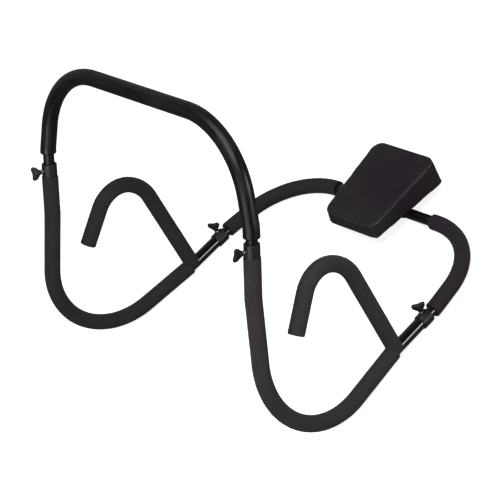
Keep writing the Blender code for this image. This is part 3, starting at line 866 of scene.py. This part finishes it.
def build_clamp(label, seat, axis, facing):
    """Collar, threaded stud and wing knob of one clamp."""
    middle = collar(label + "_collar", seat, axis, facing)
    across = facing.cross(axis)
    stand = Matrix([axis, across, facing]).transposed().to_4x4()

    stud = skinned("fine_" + label + "_stud", thread_rings(), False, STEEL, crease=80.0)
    stud.data.transform(Matrix.Translation(middle + facing * STUD_TIP) @ stand)
    place(stud, label + "_stud", "bare_steel")

    turn = Matrix.Rotation(math.radians(KNOB_TURN[label]), 4, "Z")
    knob = new_object("fine_" + label + "_knob", WING_MESH)
    knob.matrix_world = Matrix.Translation(middle + facing * KNOB_BASE) @ stand @ turn
    place(knob, label + "_knob", "black_plastic")


# -------------------- head cushion
PAD_TILT = math.radians(-2.14)
PAD_FRAME = (Matrix.Translation(DATUM + Vector((0.0, REAR_CORNER.y, 0.0)))
             @ Matrix.Rotation(PAD_TILT, 4, "X"))
PAD_FRONT_Y = -0.1009
PAD_BACK_Y = 0.0985
PAD_FRONT_WIDTH = 0.1476
PAD_BACK_WIDTH = 0.1751
PAD_FRONT_HEIGHT = 0.0346
PAD_BACK_HEIGHT = 0.0627
PAD_LIFT = 0.0122
PAD_RECESS = 0.0063
PAD_RIM = 0.0050
RECESS_CORNER = 6.0 * MM
LEAST_CORNER = 1.5 * MM
PAD_SWELL = 0.8 * MM          # the blank is this much smaller than the finished cushion
PAD_VOXEL = 4.0 * MM
SWELL_CAP = 5.0 * MM
BASE_HOLD = (3.0 * MM, 10.0 * MM)    # held up to this height, then let go over this much more
SEAM_DROP = 3.0 * MM
SEAM_CORNER = 20.0 * MM
SEAM_HOLD = 5.0 * MM
WELT_R = 1.25 * MM
WELT_RAISE = 0.25 * MM
WELT_SIDES = 12
# inset, depth below the top face and corner radius in mm
PAD_CROWN = ((0.0, 14.0, 19.0), (0.0, 5.0, 22.0), (0.7, 3.2, 22.0), (2.6, 1.8, 22.0),
             (6.0, 1.2, 24.0), (30.0, 0.5, 36.0), (60.0, 0.0, 62.0))
CLOTH = {"quality": 5, "mass": 0.3, "tension_stiffness": 40.0, "compression_stiffness": 40.0,
         "shear_stiffness": 20.0, "bending_stiffness": 2.0, "use_pressure": True,
         "uniform_pressure_force": 4.0}
CLOTH_STEPS = 20


def pad_height(y):
    """Height of the cushion's top face above its underside."""
    share = (y - PAD_FRONT_Y) / (PAD_BACK_Y - PAD_FRONT_Y)
    return PAD_FRONT_HEIGHT + (PAD_BACK_HEIGHT - PAD_FRONT_HEIGHT) * share


def pad_outline(inset, corner, steps=10, between=0):
    """Outline of the cushion seen from above, with rounded corners, moved in by an inset."""
    front, back = PAD_FRONT_Y + inset, PAD_BACK_Y - inset
    radius = max(corner - inset, LEAST_CORNER)
    slope = (PAD_BACK_WIDTH - PAD_FRONT_WIDTH) / (PAD_BACK_Y - PAD_FRONT_Y) / 2.0
    points = []
    for x_sign, y_sign, first in ((1, 1, 0), (-1, 1, 1), (-1, -1, 2), (1, -1, 3)):
        y_mid = (back if y_sign > 0 else front) - y_sign * radius
        for k in range(steps + 1):
            angle = math.pi / 2.0 * (first + k / steps)
            y = y_mid + radius * math.sin(angle)
            half = PAD_FRONT_WIDTH / 2.0 + slope * (y - PAD_FRONT_Y) - inset
            points.append(Vector((x_sign * (half - radius) + radius * math.cos(angle), y, 0.0)))
    if not between:
        return points
    filled = []
    for a, b in zip(points, points[1:] + points[:1]):
        count = max(1, round((b - a).length / between))
        filled += [a.lerp(b, k / count) for k in range(count)]
    return filled


def pad_ring(inset, level, corner, between=0):
    """Outline at a height above the cushion's underside, in the cushion's own frame."""
    outline = pad_outline(inset, corner, between=between)
    return [Vector((p.x, p.y, PAD_LIFT + level(p.y))) for p in outline]


def seam_points(step):
    """Points along the seam just below the cushion's top edge."""
    return pad_ring(PAD_SWELL, lambda y: pad_height(y) - SEAM_DROP, SEAM_CORNER, between=step)


def swell(piece):
    """Inflate a cushion blank by cloth pressure, capped, with its underside and seam held."""
    remesh = piece.modifiers.new("remesh", "REMESH")
    remesh.mode = "VOXEL"
    remesh.voxel_size = PAD_VOXEL
    apply_modifiers(piece)
    held = piece.vertex_groups.new(name="held")
    start = [v.co.copy() for v in piece.data.vertices]
    seam = seam_points(2.0 * MM)
    tree = KDTree(len(seam))
    for k, point in enumerate(seam):
        tree.insert(point, k)
    tree.balance()
    for k, point in enumerate(start):
        above = (point.z - PAD_LIFT - BASE_HOLD[0]) / BASE_HOLD[1]
        low = 1.0 - min(1.0, max(0.0, above))
        near = 1.0 - min(1.0, tree.find(point)[2] / SEAM_HOLD)
        held.add([k], max(low, min(1.0, 1.6 * near)), "REPLACE")
    cloth = piece.modifiers.new("cloth", "CLOTH")
    for setting, value in CLOTH.items():
        setattr(cloth.settings, setting, value)
    cloth.settings.vertex_group_mass = "held"
    cloth.settings.effector_weights.gravity = 0.0
    cloth.collision_settings.use_self_collision = False
    scene = bpy.context.scene
    for step in range(1, CLOTH_STEPS + 1):
        scene.frame_set(step)
    apply_modifiers(piece)
    scene.frame_set(1)
    for point, before in zip(piece.data.vertices, start):
        move = point.co - before
        if move.length > SWELL_CAP:
            point.co = before + move.normalized() * SWELL_CAP


def build_cushion():
    """Wedge cushion of upholstered foam, with the recess for its board."""
    rings = [pad_ring(PAD_SWELL, lambda y: 0.0, 12.0 * MM),
             pad_ring(PAD_SWELL, lambda y: 10.0 * MM, 16.0 * MM)]
    for inset, drop, corner in PAD_CROWN:
        rings.append(pad_ring(PAD_SWELL + inset * MM, lambda y: pad_height(y) - drop * MM,
                              corner * MM))
    pad = skinned("fine_head_cushion", rings, False, VINYL)
    swell(pad)
    smooth = pad.modifiers.new("smooth", "SUBSURF")
    smooth.levels = 1
    smooth.render_levels = 1
    apply_modifiers(pad)
    hollow = [[Vector((p.x, p.y, PAD_LIFT + z)) for p in pad_outline(PAD_RIM, RECESS_CORNER)]
              for z in (-5.0 * MM, PAD_RECESS)]
    combine(pad, [skinned("hollow", hollow, False, VINYL)], "DIFFERENCE")
    face_outward(pad, 60.0)
    return pad


def build_welt(pad):
    """Seam welt that follows the top edge of the cushion's cover; its paler vinyl is a painted
    highlight along the seam.
    """
    work = bmesh.new()
    work.from_mesh(pad.data)
    tree = BVHTree.FromBMesh(work)
    work.free()
    path = []
    for point in seam_points(2.5 * MM):
        near, normal, _, _ = tree.find_nearest(point)
        path.append(near + normal * WELT_RAISE)
    count = len(path)
    for _ in range(3):
        path = [(path[k - 1] + path[k] * 2.0 + path[(k + 1) % count]) / 4.0 for k in range(count)]
    rings = []
    for k, here in enumerate(path):
        tangent = (path[(k + 1) % count] - path[k - 1]).normalized()
        side = (Z_AXIS - tangent * Z_AXIS.dot(tangent)).normalized()
        other = tangent.cross(side)
        turns = [2.0 * math.pi * j / WELT_SIDES for j in range(WELT_SIDES)]
        rings.append([here + (side * math.cos(t) + other * math.sin(t)) * WELT_R for t in turns])
    return skinned("fine_cushion_welt", rings, True, WELT_VINYL_LIT)


# -------------------- board, straps and screws
STRAP_X = 0.0450
STRAP_BORE_R = 0.0114
STRAP_WIDTH = 0.0200
STRAP_THICKNESS = 0.0018
STRAP_EAR = 0.0150
STRAP_BEVEL = 0.35 * MM
SCREW_WAY_R = 2.3 * MM
# height and radius in mm: pan head, then shank
SCREW_PROFILE = ((-2.4, 0.8), (-2.3, 1.8), (-2.0, 2.8), (-1.5, 3.6), (-1.0, 4.1), (-0.6, 4.2),
                 (-0.3, 4.2), (-0.3, 2.0), (6.3, 2.0))
CROSS_SIZE = (5.0 * MM, 0.9 * MM)
CROSS_TURNS = (20.0, 110.0)


def strap_rings(x):
    """Saddle strap outline swept across its width: ears, legs and a half round."""
    ear_z = PAD_LIFT - GAP
    reach = STRAP_BORE_R + STRAP_THICKNESS
    outer = [(-reach - STRAP_EAR, ear_z), (-reach - STRAP_EAR, ear_z - STRAP_THICKNESS)]
    outer += [(-reach, ear_z - STRAP_THICKNESS)]
    turns = [math.pi * (1.0 + k / 24.0) for k in range(25)]
    outer += [(math.cos(t) * reach, math.sin(t) * reach) for t in turns]
    outer += [(reach, ear_z - STRAP_THICKNESS), (reach + STRAP_EAR, ear_z - STRAP_THICKNESS)]
    outer += [(reach + STRAP_EAR, ear_z), (STRAP_BORE_R, ear_z)]
    inner = [(math.cos(t) * STRAP_BORE_R, math.sin(t) * STRAP_BORE_R) for t in reversed(turns)]
    outline = outer + inner + [(-STRAP_BORE_R, ear_z)]
    return [[Vector((x + half * STRAP_WIDTH, y, z)) for y, z in outline] for half in (-0.5, 0.5)]


def build_strap(side, x):
    """Saddle strap round the bar and its two pan-head screws."""
    strap = skinned("fine_" + side + "_saddle_strap", strap_rings(x), False, PAINT, crease=25.0)
    foot_z = PAD_LIFT - GAP - STRAP_THICKNESS
    arm = STRAP_BORE_R + STRAP_THICKNESS + STRAP_EAR / 2.0
    ways = [drill(Vector((x, y, foot_z)), Z_AXIS, -3.0 * MM, 5.0 * MM, SCREW_WAY_R, 32)
            for y in (-arm, arm)]
    combine(strap, ways, "DIFFERENCE")
    ease = strap.modifiers.new("ease", "BEVEL")
    ease.width = STRAP_BEVEL
    ease.segments = 2
    ease.limit_method = "ANGLE"
    ease.angle_limit = math.radians(40.0)
    apply_modifiers(strap)
    face_outward(strap, 40.0)
    strap.data.transform(PAD_FRAME)
    place(strap, side + "_saddle_strap", "black_steel")
    for place_name, y in (("front", -arm), ("rear", arm)):
        foot = Vector((x, y, foot_z))
        node = side + "_" + place_name + "_strap_screw"
        screw = turned("fine_" + node, foot, Z_AXIS, in_mm(SCREW_PROFILE), STEEL, count=40)
        cross = [slot_block(foot - Z_AXIS * (1.7 * MM), *CROSS_SIZE, turn) for turn in CROSS_TURNS]
        combine(screw, cross, "DIFFERENCE")
        face_outward(screw)
        screw.data.transform(PAD_FRAME)
        place(screw, node, "bare_steel")


def slot_block(centre, length, width, turn):
    """Cutter for one arm of a cross recess, tapered towards its bottom."""
    spin = Matrix.Rotation(math.radians(turn), 3, "Z")
    rings = []
    for z, share in ((-2.0 * MM, 1.3), (0.8 * MM, 0.7)):
        x, y = length / 2.0 * share, width / 2.0 * share
        corners = ((-x, -y), (x, -y), (x, y), (-x, y))
        rings.append([centre + spin @ Vector((*corner, z)) for corner in corners])
    return skinned("slot", rings, False, STEEL)


# -------------------- assembly
for frame_side, frame_sign in SIDES:
    build_side(frame_side, frame_sign)
    front_seat, rear_seat = mirrored([FRONT_SEAT, REAR_SEAT - Y_AXIS * COLLAR_LENGTH], frame_sign)
    build_clamp(frame_side + "_front", front_seat, LEG_AXIS, HOOP_NORMAL)
    build_clamp(frame_side + "_rear", rear_seat, Y_AXIS, Z_AXIS)
build_hoop()
build_head_frame()

cushion = build_cushion()
welt = build_welt(cushion)
for cover in (cushion, welt):
    cover.data.transform(PAD_FRAME)
place(cushion, "head_cushion", "black_vinyl")
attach(welt, BODY_OF["head_cushion"])
repaint("head_board", PLYWOOD)
for strap_side, strap_sign in SIDES:
    build_strap(strap_side, STRAP_X * strap_sign)

# -------------------- floor and light
FLOOR_SIZE = 14.0
FLOOR_DROP = 0.5 * MM
FLOOR_SEEN = (0.90, 0.90, 0.90)         # colour to the camera
FLOOR_MIRRORED = (0.20, 0.20, 0.20)     # colour to every other ray
FLOOR_GLOW = 0.80                       # emission to the camera, which bleaches the floor
# name, place, target, width, power in watts and height as a share of the width
LIGHTS = (
    ("top_light", (0.9, -0.5, 3.0), (0.0, 0.0, 0.2), 1.7, 58.0, 1.0),
    ("front_light", (1.1, -3.4, 0.7), (0.0, 0.0, 0.3), 2.6, 66.0, 1.0),
    ("side_light", (4.0, 1.5, 0.75), (0.2, 0.0, 0.05), 1.6, 50.0, 0.85),
)


def studio_floor():
    """Pale floor; it looks white to the camera and greyer to the object's reflections."""
    half = FLOOR_SIZE / 2.0
    mesh = bpy.data.meshes.new("studio_floor")
    corners = [(-half, -half, 0.0), (half, -half, 0.0), (half, half, 0.0), (-half, half, 0.0)]
    mesh.from_pydata(corners, [], [(0, 1, 2, 3)])
    floor = new_object("studio_floor", mesh)
    floor.location.z = -FLOOR_DROP
    finish = Finish("studio_floor", {"Roughness": 0.9, "Specular IOR Level": 0.1})
    seen = finish.node("ShaderNodeLightPath").outputs["Is Camera Ray"]
    finish.feed("Base Color", finish.blend(seen, FLOOR_MIRRORED, FLOOR_SEEN))
    finish.shader.inputs["Emission Color"].default_value = (1.0, 1.0, 1.0, 1.0)
    finish.feed("Emission Strength", finish.maths("MULTIPLY", seen, FLOOR_GLOW))
    mesh.materials.append(finish.material)


def area_light(name, place_at, target, size, power, shape_ratio):
    """Soft rectangular light that faces a target."""
    light = bpy.data.lights.new(name, "AREA")
    light.shape = "RECTANGLE"
    light.size = size
    light.size_y = size * shape_ratio
    light.energy = power
    holder = new_object(name, light)
    holder.location = place_at
    holder.rotation_euler = (Vector(target) - Vector(place_at)).to_track_quat("-Z", "Y").to_euler()


def studio_world(camera_strength, near_strength, far_strength):
    """White backdrop to the camera; to the object, dark on the camera's side and pale behind."""
    world = bpy.data.worlds.new("studio_world")
    bpy.context.scene.world = world
    world.use_nodes = True
    maker = Nodes(world.node_tree)
    background = world.node_tree.nodes["Background"]
    background.inputs["Color"].default_value = (1.0, 1.0, 1.0, 1.0)
    where = maker.node("ShaderNodeTexCoord").outputs["Generated"]
    backward = camera.matrix_world.to_3x3() @ Z_AXIS
    toward = maker.node("ShaderNodeVectorMath", {0: where, 1: backward}, operation="DOT_PRODUCT")
    shade = maker.node("ShaderNodeMapRange", {
        "Value": toward.outputs["Value"], "From Min": -0.6, "From Max": 0.6,
        "To Min": far_strength, "To Max": near_strength})
    seen = maker.node("ShaderNodeLightPath").outputs["Is Camera Ray"]
    pick = maker.node("ShaderNodeMix", {0: seen, 2: shade.outputs["Result"], 3: camera_strength})
    maker.tree.links.new(pick.outputs[0], background.inputs["Strength"])


studio_floor()
studio_world(camera_strength=1.0, near_strength=0.05, far_strength=0.30)
for light_row in LIGHTS:
    area_light(*light_row)
bpy.context.scene.view_settings.view_transform = "Standard"
bpy.context.scene.view_settings.look = "None"
